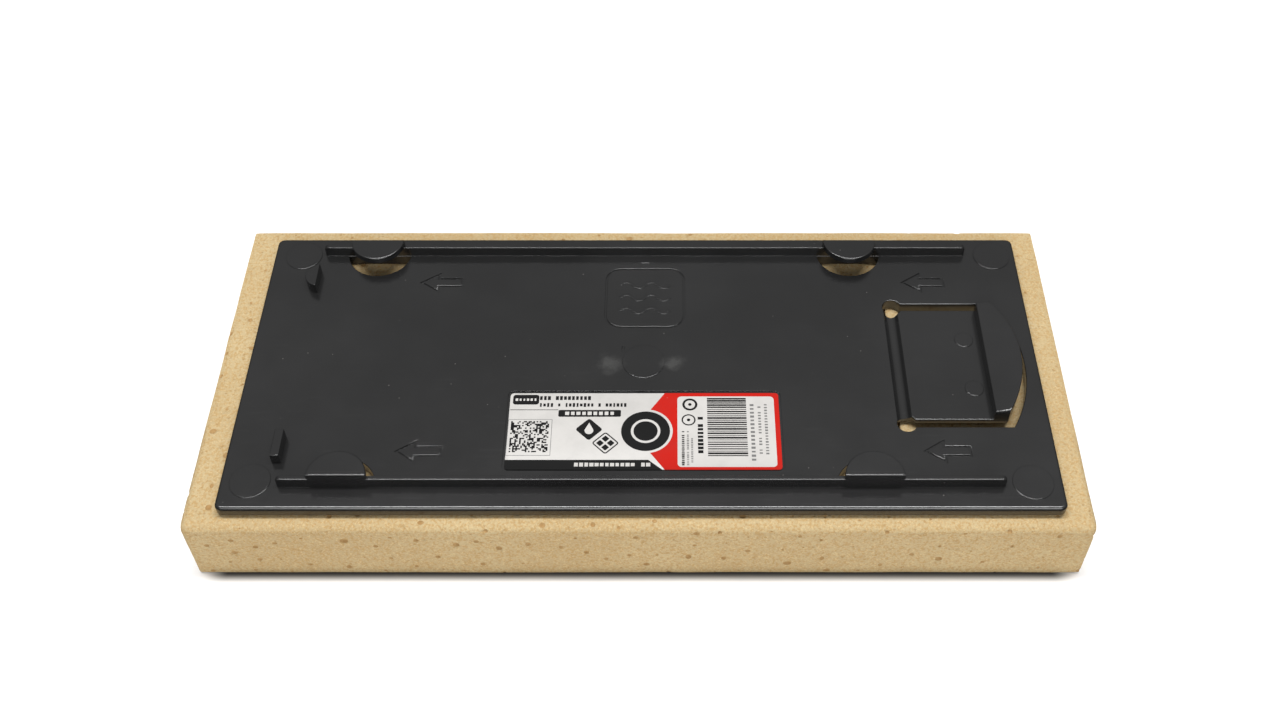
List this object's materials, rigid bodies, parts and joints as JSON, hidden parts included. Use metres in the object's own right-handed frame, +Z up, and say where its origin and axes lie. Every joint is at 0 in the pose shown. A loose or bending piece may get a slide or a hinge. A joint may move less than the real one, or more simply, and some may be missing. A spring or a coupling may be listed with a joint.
{
  "type": "grout float sponge base",
  "caption": "Slide-on sponge base for a grout float: a foam block under a moulded plate with hooked rails, stop ribs and a springy latch.",
  "frame": {"origin": "centre of the sponge's underside", "axes": "+X along the length towards the latch, +Y across the width, +Z up from the sponge to the hooks"},
  "size_m": [0.3, 0.135, 0.04],
  "materials": {
    "sponge_foam": "open-cell foam, cut faces, beige",
    "adhesive": "cured glue, hidden",
    "black_moulding": "satin injection-moulded plastic",
    "printed_label": null
  },
  "bodies": {
    "base": {"sponge_block": "sponge_foam", "adhesive_layer": "adhesive", "carrier_plate": "black_moulding", "latch_hinge_web": "black_moulding", "label": "printed_label"},
    "latch": {"latch_tongue": "black_moulding"}
  },
  "joints": [
    {"name": "latch_flex", "type": "hinge", "parent": "base", "child": "latch", "pos_m": [0.09035, -0.002, 0.03045], "axis": [0, 1, 0], "range_deg": [0, 8.5], "stiffness_Nm_per_rad": 0.8, "deforming": ["latch_hinge_web", "sponge_block"]}
  ]
}
